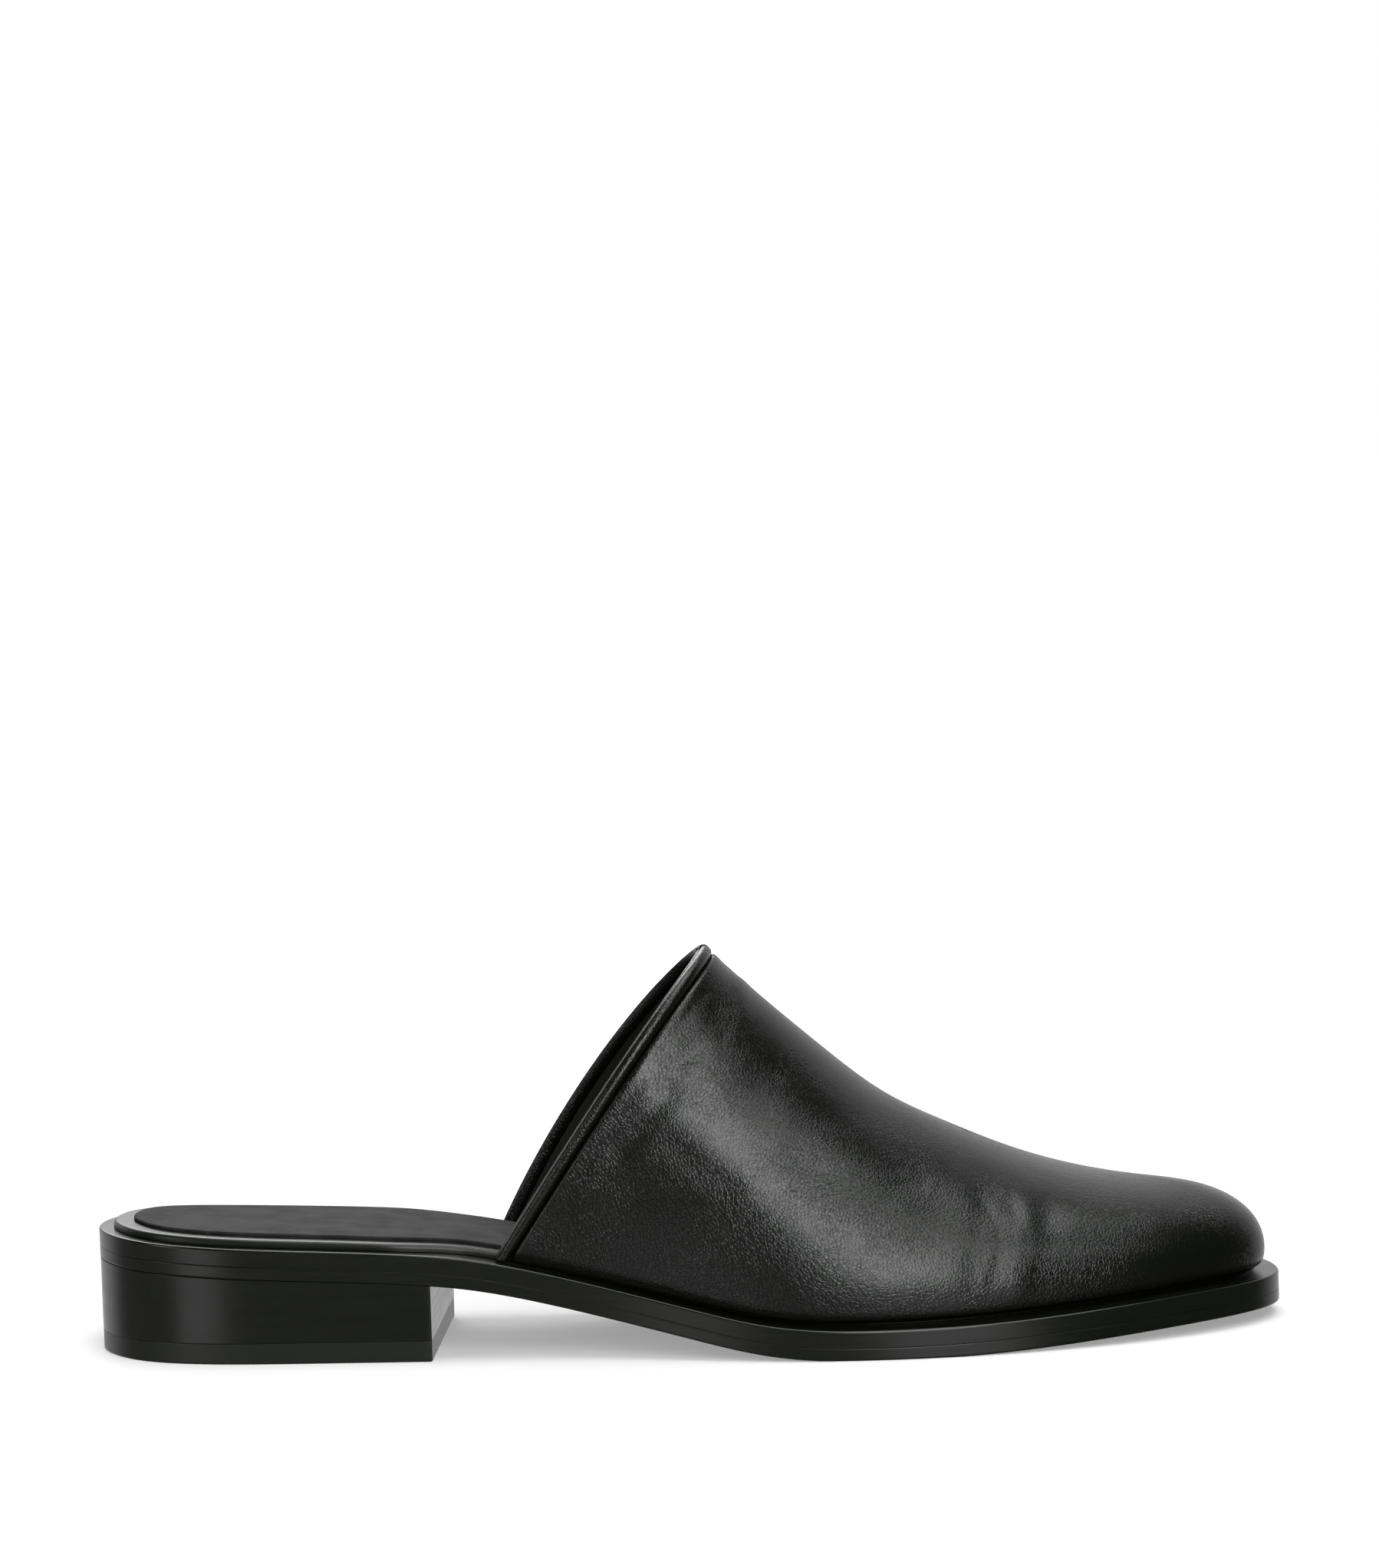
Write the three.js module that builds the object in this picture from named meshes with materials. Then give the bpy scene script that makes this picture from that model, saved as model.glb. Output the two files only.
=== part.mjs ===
// A right mule shoe: closed smooth leather vamp with no back, on a leather sole with a low stacked heel.
// Millimetres. +X runs from heel to toe, +Y is the inner (medial) side, +Z is up, the floor is z = 0.
import * as THREE from 'three';
import * as BufferGeometryUtils from 'three/addons/utils/BufferGeometryUtils.js';

// ---------------------------------------------------------------- driving sizes
const soleLength = 268;
const midsoleThickness = 3.9;
const soleThickness = 6.8;
const pieceGap = 0.3;
const liftThickness = 4.7;
const breastOuter = 77; // where the heel's front face stands, from the heel's back, on the outer side
const breastInner = 79; // and on the inner side
const insoleThickness = 1.4;
const insoleMargin = 3.4;
const sockThickness = 0.9;
const sockMargin = 4.6;
const upperWall = 2.0;
const bindingRadius = 1.6;
const toplineFoot = 92.5; // where the binding's middle line meets the sole, from the heel's back
const toplineRake = 0.69; // how far the topline runs forward for each millimetre that it rises
const outerBow = 0.7; // how far it hangs back from a straight line halfway up, on the outer side
const innerBow = 3.7; // and on the inner side
const toplineRoll = 4; // how far its top rolls forward over the instep
const ridgeTop = 90.6; // height of the topline's highest point

// The sole's edge seen from above, a pair of points for each section from heel to toe.
const outline = [
  { place: 'heel back', outerAlong: 0, outer: -3.5, innerAlong: 0, inner: 3.5 },
  { place: 'heel curve', outerAlong: 3, outer: 8.5, innerAlong: 3, inner: 16.5 },
  { place: 'heel shoulder', outerAlong: 12.5, outer: 19.8, innerAlong: 12.5, inner: 25 },
  { place: 'heel seat', outerAlong: 30, outer: 26.5, innerAlong: 30, inner: 28.5 },
  { place: 'heel centre', outerAlong: 52, outer: 29, innerAlong: 53, inner: 28.6 },
  { place: 'breast', outerAlong: 76, outer: 31, innerAlong: 77, inner: 26.8 },
  { place: 'waist', outerAlong: 100, outer: 32.8, innerAlong: 101, inner: 24.6 },
  { place: 'arch', outerAlong: 124, outer: 37, innerAlong: 125, inner: 27.6 },
  { place: 'behind ball', outerAlong: 148, outer: 43, innerAlong: 149, inner: 34.2 },
  { place: 'outer ball', outerAlong: 170, outer: 46, innerAlong: 171, inner: 39.8 },
  { place: 'inner ball', outerAlong: 192, outer: 45.2, innerAlong: 193, inner: 42.4 },
  { place: 'toe joints', outerAlong: 213, outer: 41.3, innerAlong: 214, inner: 41 },
  { place: 'toes', outerAlong: 233, outer: 34.6, innerAlong: 234, inner: 37 },
  { place: 'toe corner', outerAlong: 249, outer: 26.2, innerAlong: 250, inner: 30.6 },
  { place: 'toe turn', outerAlong: 260.8, outer: 16.6, innerAlong: 260.6, inner: 22.8 },
  { place: 'toe edge', outerAlong: 266.9, outer: 7, innerAlong: 266.2, inner: 12.5 },
  { place: 'toe front', outerAlong: soleLength, outer: -2.5, innerAlong: soleLength, inner: 2.5 },
];

// Height of the sole's top face: heel seat, arch, ball and toe spring.
const soleTop = [
  { place: 'heel back', along: 0, height: 27.8 },
  { place: 'heel seat', along: 36, height: 25.8 },
  { place: 'breast', along: 70, height: 24.2 },
  { place: 'shank', along: 84, height: 22.9 },
  { place: 'waist', along: 100, height: 19.9 },
  { place: 'arch', along: 118, height: 15.6 },
  { place: 'arch foot', along: 134, height: 11.7 },
  { place: 'behind ball', along: 150, height: 8.2 },
  { place: 'ball', along: 164, height: 6.8 },
  { place: 'tread', along: 178, height: 6.6 },
  { place: 'tread front', along: 194, height: 6.8 },
  { place: 'toe joints', along: 220, height: 8 },
  { place: 'toes', along: 245, height: 9.4 },
  { place: 'toe front', along: soleLength, height: 9.9 },
];

// The ridge along the top of the vamp. Behind the topline it only steers the sides.
const ridge = [
  { place: 'behind topline', along: 88, height: 124 },
  { place: 'ankle side', along: 112, height: 110.5 },
  { place: 'topline', along: 137, height: ridgeTop },
  { place: 'instep', along: 151, height: 77.4 },
  { place: 'instep foot', along: 165, height: 64.8 },
  { place: 'vamp', along: 179, height: 53.4 },
  { place: 'toe joints', along: 193, height: 45.8 },
  { place: 'toes', along: 207, height: 39.5 },
  { place: 'toe box', along: 221, height: 34.7 },
  { place: 'toe top', along: 235, height: 31.7 },
  { place: 'toe cap', along: 248, height: 30.4 },
];

// How each cross section of the vamp is drawn: how far its edge stays inside the sole's edge, how far it
// swells out above that, and how full the side wall and the crown are, as shares of height and half width.
const vampForm = [
  { place: 'behind topline', along: 88, margin: 3.2, swell: 1.6, wall: 0.62, crown: 0.5 },
  { place: 'instep', along: 130, margin: 3.8, swell: 2.6, wall: 0.52, crown: 0.46 },
  { place: 'ball', along: 175, margin: 4.6, swell: 4, wall: 0.46, crown: 0.46 },
  { place: 'toes', along: 215, margin: 5.4, swell: 4.4, wall: 0.56, crown: 0.56 },
  { place: 'toe front', along: 268, margin: 3.9, swell: 4.2, wall: 0.6, crown: 0.7 },
];
const ridgeShare = 0.53; // the ridge lies a little towards the inner side

const colours = { leather: 0x17181a, edge: 0x141416, rubber: 0x1b1b1c, lining: 0x202123, sock: 0x2a2b2d };

// ---------------------------------------------------------------- smooth curves
// A natural cubic spline through one column of a table.
function curveThrough(rows, column) {
  const x = rows.map((row) => row.along);
  const y = rows.map((row) => row[column]);
  const last = x.length - 1;
  const bend = new Array(last + 1).fill(0);
  const work = new Array(last + 1).fill(0);
  for (let i = 1; i < last; i += 1) {
    const share = (x[i] - x[i - 1]) / (x[i + 1] - x[i - 1]);
    const lead = share * bend[i - 1] + 2;
    const turn = (y[i + 1] - y[i]) / (x[i + 1] - x[i]) - (y[i] - y[i - 1]) / (x[i] - x[i - 1]);
    bend[i] = (share - 1) / lead;
    work[i] = ((6 * turn) / (x[i + 1] - x[i - 1]) - share * work[i - 1]) / lead;
  }
  bend[last] = 0;
  for (let i = last - 1; i >= 0; i -= 1) bend[i] = bend[i] * bend[i + 1] + work[i];
  return (along) => {
    const at = Math.min(Math.max(along, x[0]), x[last]);
    let i = 0;
    while (i < last - 1 && at > x[i + 1]) i += 1;
    const step = x[i + 1] - x[i];
    const a = (x[i + 1] - at) / step;
    const b = (at - x[i]) / step;
    const sag = ((a ** 3 - a) * bend[i] + (b ** 3 - b) * bend[i + 1]) * (step * step) / 6;
    return a * y[i] + b * y[i + 1] + sag;
  };
}

// A closed cubic B-spline that passes through the given points, one unit of its parameter per point.
function closedCurve(points) {
  const count = points.length;
  const wrap = (i) => ((i % count) + count) % count;
  let poles = points.map((p) => p.clone());
  for (let round = 0; round < 24; round += 1) {
    poles = poles.map((pole, i) => {
      const on = pole.clone().multiplyScalar(4).add(poles[wrap(i - 1)]).add(poles[wrap(i + 1)]).divideScalar(6);
      return pole.clone().add(points[i]).sub(on);
    });
  }
  return (u) => {
    const i = Math.floor(u);
    const f = u - i;
    const weights = [(1 - f) ** 3, 3 * f ** 3 - 6 * f * f + 4, 3 * f + 3 * f * f - 3 * f ** 3 + 1, f ** 3];
    const point = new THREE.Vector2();
    weights.forEach((weight, k) => point.addScaledVector(poles[wrap(i + k - 1)], weight / 6));
    return point;
  };
}

const toeSection = outline.length - 1;
const edgePoints = outline.map((row) => new THREE.Vector2(row.outerAlong, -row.outer));
for (let i = toeSection - 1; i > 0; i -= 1) {
  edgePoints.push(new THREE.Vector2(outline[i].innerAlong, outline[i].inner));
}
const edgeCurve = closedCurve(edgePoints);

// A point of the sole's edge at a section number, on the outer side (-1) or inner side (+1), moved inwards.
function edgeAt(section, side, inset) {
  const u = side < 0 ? section : 2 * toeSection - section;
  const step = 0.01;
  const along = edgeCurve(u + step).sub(edgeCurve(u - step)).normalize();
  return edgeCurve(u).add(new THREE.Vector2(-along.y, along.x).multiplyScalar(inset));
}

// The frame's X axis runs midway between the sole's widest points, and its origin midway along the sole.
const reaches = Array.from({ length: 200 }, (_, i) => edgeCurve((i * edgePoints.length) / 200).y);
const frameCentre = new THREE.Vector3(soleLength / 2, (Math.max(...reaches) + Math.min(...reaches)) / 2, 0);

const topAt = curveThrough(soleTop, 'height');
const bottomAt = (along) => Math.max(0, topAt(along) - soleThickness);
const ridgeAt = curveThrough(ridge, 'height');
const form = {};
for (const column of ['margin', 'swell', 'wall', 'crown']) form[column] = curveThrough(vampForm, column);

// ---------------------------------------------------------------- meshes from rings
const between = (low, high, share) => low + (high - low) * share;
const endReach = 26; // how far the middle line of a flat piece stays from heel and toe
const material = (color, roughness) => new THREE.MeshStandardMaterial({ color, roughness, metalness: 0 });

// One closed mesh from a list of rings, each a list of points. `close` joins each ring's end to its start.
function meshFromRings(name, rings, look) {
  const positions = rings.flat().flatMap((p) => p.clone().sub(frameCentre).toArray());
  const width = rings[0].length;
  const index = [];
  for (let r = 0; r < rings.length - 1; r += 1) {
    for (let i = 0; i < width; i += 1) {
      const next = (i + 1) % width;
      const corners = [r * width + i, r * width + next, (r + 1) * width + next, (r + 1) * width + i];
      index.push(corners[0], corners[2], corners[1], corners[0], corners[3], corners[2]);
    }
  }
  return meshFromTriangles(name, positions, index, look);
}

function meshFromTriangles(name, positions, index, look) {
  const raw = new THREE.BufferGeometry();
  raw.setAttribute('position', new THREE.Float32BufferAttribute(positions, 3));
  raw.setIndex(index);
  const geometry = BufferGeometryUtils.mergeVertices(raw, 1e-3);
  const merged = geometry.getIndex().array;
  const kept = [];
  for (let i = 0; i < merged.length; i += 3) {
    const [a, b, c] = [merged[i], merged[i + 1], merged[i + 2]];
    if (a !== b && b !== c && c !== a) kept.push(a, b, c);
  }
  geometry.setIndex(kept);
  geometry.computeVertexNormals();
  const mesh = new THREE.Mesh(geometry, look);
  mesh.name = name;
  return mesh;
}

// A flat piece that follows the sole. Each section gives a middle point and the edge point of either side,
// and `profile` runs from the middle of the top face over the edge to the middle of the bottom face.
function slab(name, sections, profile, heightAt, look) {
  const last = sections.length - 1;
  const rings = profile.map((step) => {
    const ring = [];
    for (let i = 0; i < 2 * last; i += 1) {
      const section = sections[i <= last ? i : 2 * last - i];
      const rim = section.rim(i <= last ? -1 : 1, step.inset);
      const flat = section.middle.clone().lerp(rim, step.reach);
      ring.push(new THREE.Vector3(flat.x, flat.y, heightAt(flat, step.level)));
    }
    return ring;
  });
  return meshFromRings(name, rings, look);
}

// Sections evenly spread from the heel's back to the toe. Their middles stop short of both ends.
function soleSections(count, extraInset) {
  const sections = [];
  for (let i = 0; i <= count; i += 1) {
    const number = (toeSection * i) / count;
    const middle = edgeAt(number, -1, 0).lerp(edgeAt(number, 1, 0), 0.5);
    middle.x = between(endReach, soleLength - endReach, middle.x / soleLength);
    const rim = (side, inset) => edgeAt(number, side, inset + extraInset(number));
    sections.push({ middle, rim });
  }
  return sections;
}

// The rounded edge of a slab: flat top, softened rim, wall, softened foot, flat bottom.
function roundedProfile(rimRound, footRound, rimShare, footShare) {
  return [
    { reach: 0, inset: rimRound, level: 1 },
    { reach: 0.5, inset: rimRound, level: 1 },
    { reach: 1, inset: rimRound, level: 1 },
    { reach: 1, inset: rimRound * 0.25, level: 1 - rimShare * 0.35 },
    { reach: 1, inset: 0, level: 1 - rimShare },
    { reach: 1, inset: 0, level: footShare },
    { reach: 1, inset: footRound, level: 0 },
    { reach: 0.5, inset: footRound, level: 0 },
    { reach: 0, inset: footRound, level: 0 },
  ];
}

// ---------------------------------------------------------------- sole
const wholeSole = soleSections(40, () => 0);

function makeMidsole() {
  const profile = roundedProfile(0.5, 0.2, 0.16, 0.05);
  const height = (p, level) => topAt(p.x) - midsoleThickness * (1 - level);
  return slab('midsole', wholeSole, profile, height, material(colours.edge, 0.4));
}

function makeOutsole() {
  const profile = roundedProfile(0.2, 0.6, 0.05, 0.3);
  const height = (p, level) => {
    const bottom = bottomAt(p.x);
    const top = topAt(p.x) - midsoleThickness - pieceGap;
    return between(bottom, top, level);
  };
  return slab('outsole', wholeSole, profile, height, material(colours.edge, 0.45));
}

// ---------------------------------------------------------------- heel
// Sections run from the heel's back to the breast's corners, then along the breast's straight face.
const heelSections = 16;
const breastSteps = 4;

function sectionAtAlong(along, side) {
  let low = 0;
  let high = toeSection;
  for (let round = 0; round < 40; round += 1) {
    const middle = (low + high) / 2;
    if (edgeAt(middle, side, 0).x < along) low = middle;
    else high = middle;
  }
  return (low + high) / 2;
}

const breastSection = { outer: sectionAtAlong(breastOuter, -1), inner: sectionAtAlong(breastInner, 1) };

function heelOutline(extra) {
  const sections = [];
  const middleAt = (i) => {
    const share = i / (heelSections + breastSteps);
    return new THREE.Vector2(between(28, 56, share), between(1.5, -0.5, share));
  };
  const cornerOf = (side) => (side < 0 ? breastSection.outer : breastSection.inner);
  for (let i = 0; i <= heelSections; i += 1) {
    const share = i / heelSections;
    const rim = (side, inset) => {
      const point = edgeAt(cornerOf(side) * share, side, inset + extra);
      if (i === heelSections) point.x -= inset;
      return point;
    };
    sections.push({ middle: middleAt(i), rim });
  }
  for (let i = 1; i <= breastSteps; i += 1) {
    const rim = (side, inset) => {
      const corner = edgeAt(cornerOf(side), side, inset + extra);
      const other = edgeAt(cornerOf(-side), -side, inset + extra);
      const point = corner.lerp(other, (0.5 * i) / breastSteps);
      point.x -= inset;
      return point;
    };
    sections.push({ middle: middleAt(heelSections + i), rim });
  }
  return sections;
}

function makeHeelBlock() {
  const profile = roundedProfile(0.2, 0.2, 0.02, 0.02);
  const height = (p, level) => between(liftThickness + pieceGap, bottomAt(p.x) - pieceGap, level);
  return slab('heel_block', heelOutline(0.1), profile, height, material(colours.edge, 0.35));
}

function makeHeelLift() {
  const profile = roundedProfile(0.1, 0.5, 0.05, 0.12);
  const height = (p, level) => liftThickness * level;
  return slab('heel_lift', heelOutline(0.6), profile, height, material(colours.rubber, 0.6));
}

// ---------------------------------------------------------------- vamp surface
// The edge of the vamp, and the ridge point that the same section rises to.
function ridgePoint(section) {
  const outer = edgeAt(section, -1, 0);
  const inner = edgeAt(section, 1, 0);
  const middle = (outer.x + inner.x) / 2;
  const toeStart = 190;
  const toeEnd = 241.4;
  const past = Math.max(0, middle - toeStart);
  const pull = (soleLength - toeEnd) / (soleLength - toeStart) ** 2;
  const along = middle - pull * past * past;
  const toeFront = edgeAt(outline.length - 1, -1, 0);
  const atToe = THREE.MathUtils.smoothstep(section, outline.length - 4.5, outline.length - 2);
  const across = between(between(outer.y, inner.y, ridgeShare), toeFront.y, atToe);
  return new THREE.Vector3(along, across, ridgeAt(along));
}

// A point of the vamp's outer face. `rise` is 0 at the sole and 1 on the ridge.
function vampPoint(section, side, rise) {
  const sole = edgeAt(section, side, 0);
  const foot = edgeAt(section, side, form.margin(sole.x));
  const crown = ridgePoint(section);
  const footHeight = topAt(foot.x) + pieceGap;
  const start = new THREE.Vector3(foot.x, foot.y, footHeight);
  const outwards = new THREE.Vector3(foot.x - crown.x, foot.y - crown.y, 0);
  const halfWidth = outwards.length();
  outwards.normalize();
  const height = crown.z - footHeight;
  const wall = start.clone().addScaledVector(outwards, form.swell(sole.x));
  wall.z += height * form.wall(sole.x);
  const slope = (ridgeAt(crown.x + 1) - ridgeAt(crown.x - 1)) / 2;
  const shoulder = crown.clone().addScaledVector(outwards, halfWidth * form.crown(sole.x));
  shoulder.z += slope * (shoulder.x - crown.x);
  return new THREE.CubicBezierCurve3(start, wall, shoulder, crown).getPoint(rise);
}

const toplineAlong = (height, side) => {
  const share = (height - topAt(toplineFoot)) / (ridgeTop - topAt(toplineFoot));
  const bow = 4 * (side < 0 ? outerBow : innerBow) * share * (1 - share);
  const roll = toplineRoll * Math.max(0, share) ** 5;
  return toplineFoot + toplineRake * (height - topAt(toplineFoot)) - bow + roll;
};

// The section number where the topline crosses a given rise of the vamp.
function toplineSection(side, rise) {
  let low = 4;
  let high = 12;
  for (let round = 0; round < 40; round += 1) {
    const middle = (low + high) / 2;
    const point = vampPoint(middle, side, rise);
    if (point.x < toplineAlong(point.z, side)) low = middle;
    else high = middle;
  }
  return (low + high) / 2;
}

const vampSteps = 34; // from topline to toe
const riseSteps = 13; // from sole to ridge, on each side

// The section number a given distance in front of the topline, measured on the vamp at one rise.
function sectionPastTopline(side, rise, distance) {
  const start = toplineSection(side, rise);
  const probe = 0.1;
  const reach = vampPoint(start + probe, side, rise).distanceTo(vampPoint(start, side, rise));
  return start + (probe * distance) / reach;
}

// The outer face as a grid: columns from the outer edge over the ridge to the inner edge, rows to the toe.
function vampGrid(edgeCut) {
  const grid = [];
  for (let j = 0; j <= 2 * riseSteps; j += 1) {
    const side = j <= riseSteps ? -1 : 1;
    const rise = j <= riseSteps ? j / riseSteps : 2 - j / riseSteps;
    const start = sectionPastTopline(side, rise, edgeCut);
    for (let i = 0; i <= vampSteps; i += 1) {
      grid[i] = grid[i] ?? [];
      grid[i][j] = vampPoint(between(start, toeSection, i / vampSteps), side, rise);
    }
  }
  return grid;
}

// The vamp: the outer face, the same face moved in by the wall, and the rim that joins their edges.
function makeUpper() {
  const grid = vampGrid(bindingRadius + pieceGap + 0.1);
  const columns = 2 * riseSteps + 1;
  const number = (i, j) => i * columns + (i === vampSteps && j > riseSteps ? 2 * riseSteps - j : j);
  const outer = new THREE.BufferGeometry();
  outer.setAttribute('position', new THREE.Float32BufferAttribute(grid.flat().flatMap((p) => [p.x, p.y, p.z]), 3));
  const faces = [];
  for (let i = 0; i < vampSteps; i += 1) {
    for (let j = 0; j < columns - 1; j += 1) {
      const corners = [number(i, j), number(i + 1, j), number(i + 1, j + 1), number(i, j + 1)];
      faces.push(corners[0], corners[1], corners[2], corners[0], corners[2], corners[3]);
    }
  }
  outer.setIndex(faces);
  outer.computeVertexNormals();
  const place = outer.getAttribute('position');
  const normal = outer.getAttribute('normal');
  const positions = [];
  for (const depth of [0, upperWall]) {
    for (let v = 0; v < place.count; v += 1) {
      const point = new THREE.Vector3().fromBufferAttribute(place, v).sub(frameCentre);
      const inwards = new THREE.Vector3().fromBufferAttribute(normal, v).multiplyScalar(-depth);
      positions.push(...point.add(inwards).toArray());
    }
  }
  const inside = place.count;
  const index = [...faces];
  for (let f = 0; f < faces.length; f += 3) {
    index.push(faces[f] + inside, faces[f + 2] + inside, faces[f + 1] + inside);
  }
  const rim = [];
  for (let j = 0; j < columns; j += 1) rim.push(number(0, j));
  for (let i = 1; i <= vampSteps; i += 1) rim.push(number(i, columns - 1));
  for (let i = vampSteps - 1; i > 0; i -= 1) rim.push(number(i, 0));
  rim.forEach((a, k) => {
    const b = rim[(k + 1) % rim.length];
    index.push(a, b, b + inside, a, b + inside, a + inside);
  });
  return meshFromTriangles('upper', positions, index, material(colours.leather, 0.38));
}

// ---------------------------------------------------------------- topline binding
const bindingFootRise = 0.012; // how far up the vamp's side its ends stop, clear of the sole
function makeBinding() {
  const sides = 10;
  const steps = 30;
  const centres = [];
  for (let k = 0; k <= steps; k += 1) {
    const reach = (2 * k) / steps;
    const side = reach <= 1 ? -1 : 1;
    const rise = reach <= 1 ? reach : 2 - reach;
    const lifted = bindingFootRise + (1 - bindingFootRise) * rise;
    const section = toplineSection(side, lifted);
    const edge = vampPoint(section, side, lifted);
    const ahead = vampPoint(section + 0.1, side, lifted);
    const over = vampPoint(section, side, Math.max(0, lifted - 0.02));
    const back = edge.clone().sub(ahead).normalize();
    const down = over.sub(edge).normalize();
    const inwards = back.clone().cross(down).multiplyScalar(side).normalize();
    centres.push({ centre: edge.addScaledVector(inwards, upperWall / 2), back, inwards });
  }
  const rings = centres.map(({ centre, back, inwards }) => {
    const ring = [];
    for (let s = 0; s < sides; s += 1) {
      const turn = (2 * Math.PI * s) / sides;
      const point = centre.clone().addScaledVector(back, bindingRadius * Math.cos(turn));
      ring.push(point.addScaledVector(inwards, bindingRadius * Math.sin(turn)));
    }
    return ring;
  });
  const capped = [rings[0].map(() => centres[0].centre), ...rings];
  capped.push(rings[steps].map(() => centres[steps].centre));
  return meshFromRings('topline_binding', capped, material(colours.leather, 0.35));
}

// ---------------------------------------------------------------- footbed
// Inside the vamp the insole keeps clear of the wall, behind it the insole shows as a narrow rand.
function insoleInset(section) {
  const along = (edgeAt(section, -1, 0).x + edgeAt(section, 1, 0).x) / 2;
  const inside = form.margin(Math.max(along, toplineFoot)) + upperWall + 1.2;
  const share = THREE.MathUtils.smoothstep(along, toplineFoot - 26, toplineFoot - 6);
  return between(insoleMargin, inside, share);
}

const footbedSections = 40;

function makeInsole() {
  const sections = soleSections(footbedSections, insoleInset);
  const profile = roundedProfile(1, 0.1, 0.6, 0.05);
  const height = (p, level) => topAt(p.x) + pieceGap + insoleThickness * level;
  return slab('insole', sections, profile, height, material(colours.lining, 0.5));
}

function makeSockLining() {
  const sections = soleSections(footbedSections, (section) => insoleInset(section) + sockMargin);
  const profile = roundedProfile(0.4, 0.05, 0.5, 0.05);
  const base = 2 * pieceGap + insoleThickness;
  const height = (p, level) => topAt(p.x) + base + sockThickness * level;
  return slab('sock_lining', sections, profile, height, material(colours.sock, 0.6));
}

const shoe = new THREE.Group();
shoe.add(makeHeelLift(), makeHeelBlock(), makeOutsole(), makeMidsole());
shoe.add(makeInsole(), makeSockLining(), makeUpper(), makeBinding());
export default shoe;
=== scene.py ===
"""A right mule shoe in black calf, on a leather sole with a low stacked heel.

Sizes are millimetres in tables and shape functions, with `along` from the heel's back to the toe.
They turn into the row frame's metres when a piece is made.
"""

import math

import bpy
import numpy as np
from mathutils import Matrix, Vector


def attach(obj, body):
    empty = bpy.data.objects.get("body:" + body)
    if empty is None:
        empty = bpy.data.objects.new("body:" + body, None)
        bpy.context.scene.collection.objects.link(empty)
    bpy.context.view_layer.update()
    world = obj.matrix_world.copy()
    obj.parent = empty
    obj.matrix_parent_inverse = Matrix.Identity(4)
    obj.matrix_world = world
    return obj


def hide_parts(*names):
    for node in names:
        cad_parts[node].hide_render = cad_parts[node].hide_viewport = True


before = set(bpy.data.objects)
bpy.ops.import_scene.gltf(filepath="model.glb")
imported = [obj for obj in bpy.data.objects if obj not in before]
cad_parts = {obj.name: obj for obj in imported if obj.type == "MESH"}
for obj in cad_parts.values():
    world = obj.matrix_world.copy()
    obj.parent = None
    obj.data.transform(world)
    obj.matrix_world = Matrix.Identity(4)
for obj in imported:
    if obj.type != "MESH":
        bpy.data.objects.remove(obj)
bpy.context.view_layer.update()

# ------------------------------------------------------------------ sizes
MM = 0.001
SOLE_LENGTH = 268
MIDSOLE = 3.9
SOLE = 6.8
GAP = 0.3
LAYER_GAP = 0.05
SEAM = 0.02
LIFT = 4.7
BREAST_OUTER = 77
BREAST_INNER = 79
INSOLE = 1.4
INSOLE_MARGIN = 3.4
INSOLE_CLEARANCE = 1.2
INSOLE_NARROWS = 66.5
INSOLE_NARROW = 86.5
SOCK = 0.9
SOCK_MARGIN = 4.6
WALL = 2.0
LEATHER = 1.1
TOPLINE_FOOT = 92.5
TOPLINE_RAKE = 0.69
OUTER_BOW = 0.7
INNER_BOW = 3.7
TOPLINE_ROLL = 4
RIDGE_TOP = 90.6
RIDGE_SHARE = 0.53
END_REACH = 26
TOE_PULL_START = 190
TOE_PULL_END = 241.4
TOE_BLEND_START = 3.5
TOE_BLEND_END = 1
HALVINGS = 40


def columns(names, *rows):
    """A short table: each name gives its column."""
    return dict(zip(names.split(), np.array(rows, float).T))


# The sole's edge seen from above, a pair of points for each section from heel to toe.
OUTLINE = columns(
    "outer_along outer inner_along inner",
    (0, -3.5, 0, 3.5),
    (3, 8.5, 3, 16.5),
    (12.5, 19.8, 12.5, 25),
    (30, 26.5, 30, 28.5),
    (52, 29, 53, 28.6),
    (76, 31, 77, 26.8),
    (100, 32.8, 101, 24.6),
    (124, 37, 125, 27.6),
    (148, 43, 149, 34.2),
    (170, 46, 171, 39.8),
    (192, 45.2, 193, 42.4),
    (213, 41.3, 214, 41),
    (233, 34.6, 234, 37),
    (249, 26.2, 250, 30.6),
    (260.8, 16.6, 260.6, 22.8),
    (266.9, 7, 266.2, 12.5),
    (SOLE_LENGTH, -2.5, SOLE_LENGTH, 2.5),
)
# Height of the sole's top face: heel seat, arch, ball and toe spring.
SOLE_TOP = columns(
    "along height",
    (0, 27.8),
    (36, 25.8),
    (70, 24.2),
    (84, 22.9),
    (100, 19.9),
    (118, 15.6),
    (134, 11.7),
    (150, 8.2),
    (164, 6.8),
    (178, 6.6),
    (194, 6.8),
    (220, 8),
    (245, 9.4),
    (SOLE_LENGTH, 9.9),
)
# The ridge along the top of the vamp.
RIDGE = columns(
    "along height",
    (88, 124),
    (112, 110.5),
    (137, RIDGE_TOP),
    (151, 77.4),
    (165, 64.8),
    (179, 53.4),
    (193, 45.8),
    (207, 39.5),
    (221, 34.7),
    (235, 31.7),
    (248, 30.4),
)
# How each cross section of the vamp is drawn, as in the CAD model.
VAMP_FORM = columns(
    "along margin swell wall crown",
    (88, 3.2, 1.6, 0.62, 0.5),
    (130, 3.8, 2.6, 0.52, 0.46),
    (175, 4.6, 4, 0.46, 0.46),
    (215, 5.4, 4.4, 0.56, 0.56),
    (268, 3.9, 4.2, 0.6, 0.7),
)


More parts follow.
